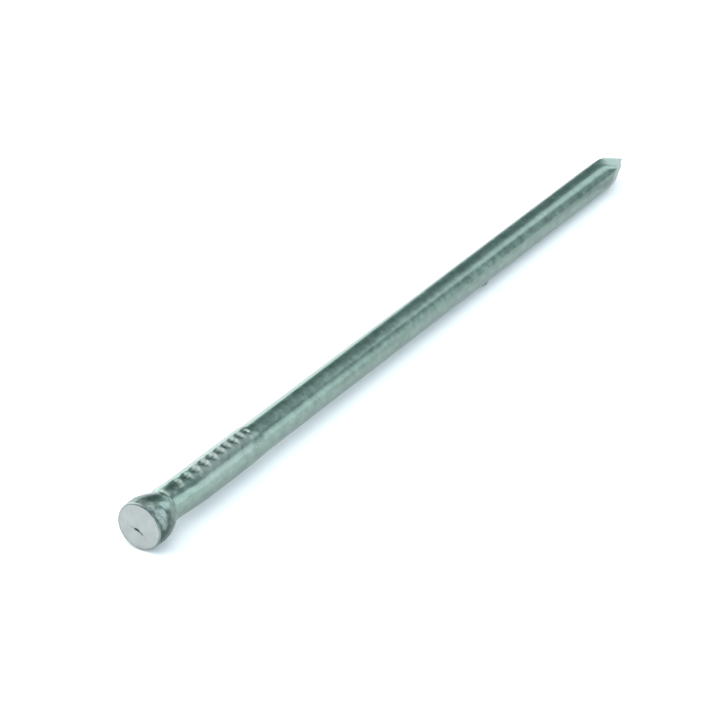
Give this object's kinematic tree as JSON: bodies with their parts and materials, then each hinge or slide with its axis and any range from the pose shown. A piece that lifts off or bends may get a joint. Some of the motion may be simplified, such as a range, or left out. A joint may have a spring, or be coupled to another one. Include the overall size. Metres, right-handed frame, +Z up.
{
  "type": "lost-head wire nail",
  "caption": "Plain round wire nail with a small barrel-shaped lost head, grip grooves pressed into opposite sides under it and a faceted diamond point; pins track or boards to timber.",
  "frame": {"origin": "middle of the flat striking face of the head, on the nail's axis", "axes": "+X runs along the nail's axis from the head to the tip; +Z is up as it lies on its side"},
  "size_m": [0.08, 0.0044, 0.0044],
  "materials": {
    "zinc_coated_steel": "zinc coated over drawn steel wire, satin, with a green-grey cast"
  },
  "bodies": {
    "root": {"rail_spike": "zinc_coated_steel"}
  },
  "joints": []
}
